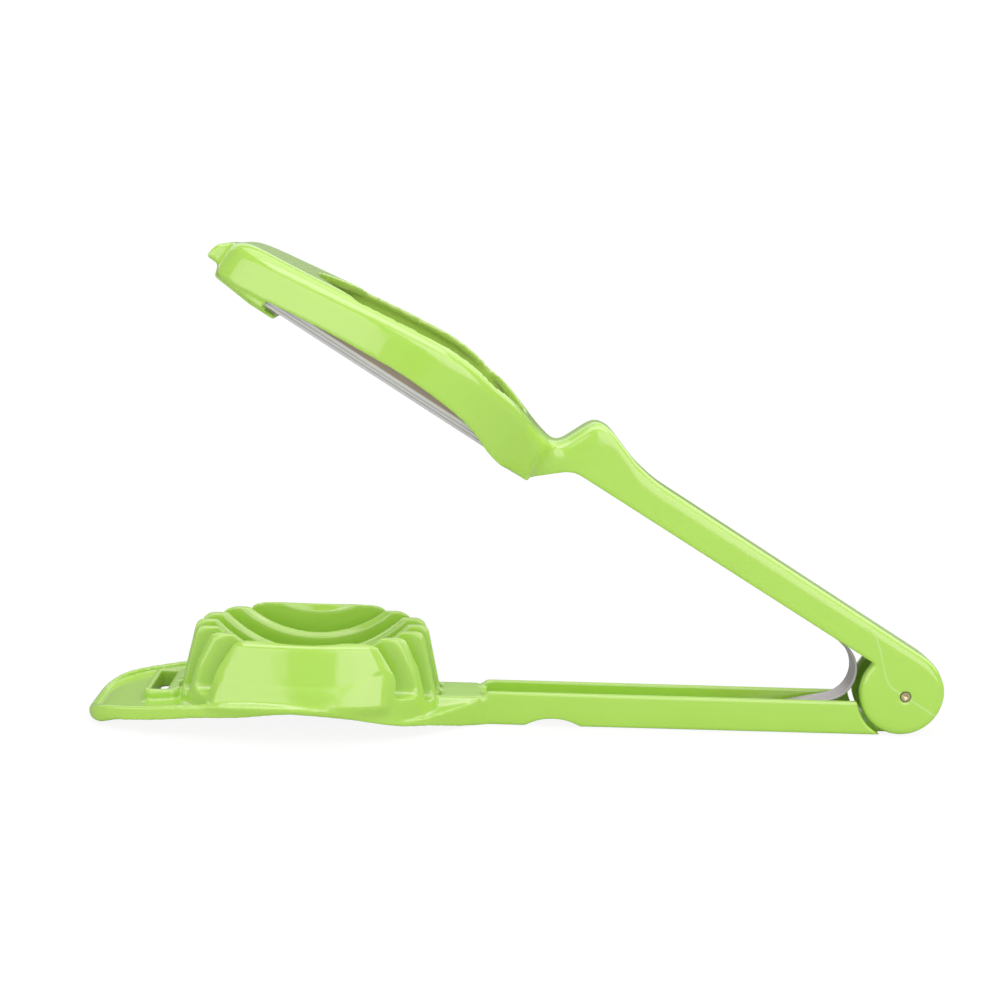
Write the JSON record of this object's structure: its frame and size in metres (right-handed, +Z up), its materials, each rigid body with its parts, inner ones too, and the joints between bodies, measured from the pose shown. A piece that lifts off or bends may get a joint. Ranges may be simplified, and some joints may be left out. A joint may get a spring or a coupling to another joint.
{
  "type": "hand-held fruit slicer",
  "caption": "Hand-held fruit slicer: a slotted round cradle on the lower arm, a framed set of straight blades on the upper arm, hinged at the rear and held open by a strip spring.",
  "frame": {"origin": "middle of the bounding box, on the table", "axes": "+X from the cradle to the hinge, +Y across the arms, +Z up from the table"},
  "size_m": [0.2448, 0.0658, 0.1343],
  "materials": {
    "green_moulding": "glossy moulded plastic",
    "blade_steel": "bright ground strip",
    "spring_steel": "satin strip",
    "pin_brass": "plain"
  },
  "bodies": {
    "base": {"lower_arm": "green_moulding", "leaf_spring": "spring_steel"},
    "press": {"upper_arm": "green_moulding", "blade_1": "blade_steel", "blade_2": "blade_steel", "blade_3": "blade_steel", "blade_4": "blade_steel", "blade_5": "blade_steel", "blade_6": "blade_steel", "hinge_pin": "pin_brass"}
  },
  "joints": [
    {"name": "arm_hinge", "type": "hinge", "parent": "base", "child": "press", "pos_m": [0.11091, 0, 0.01145], "axis": [0, -1, 0], "range_deg": [0, 29.4], "stiffness_Nm_per_rad": 1.6, "springref_deg": -25.78, "deforming": ["leaf_spring"]}
  ]
}
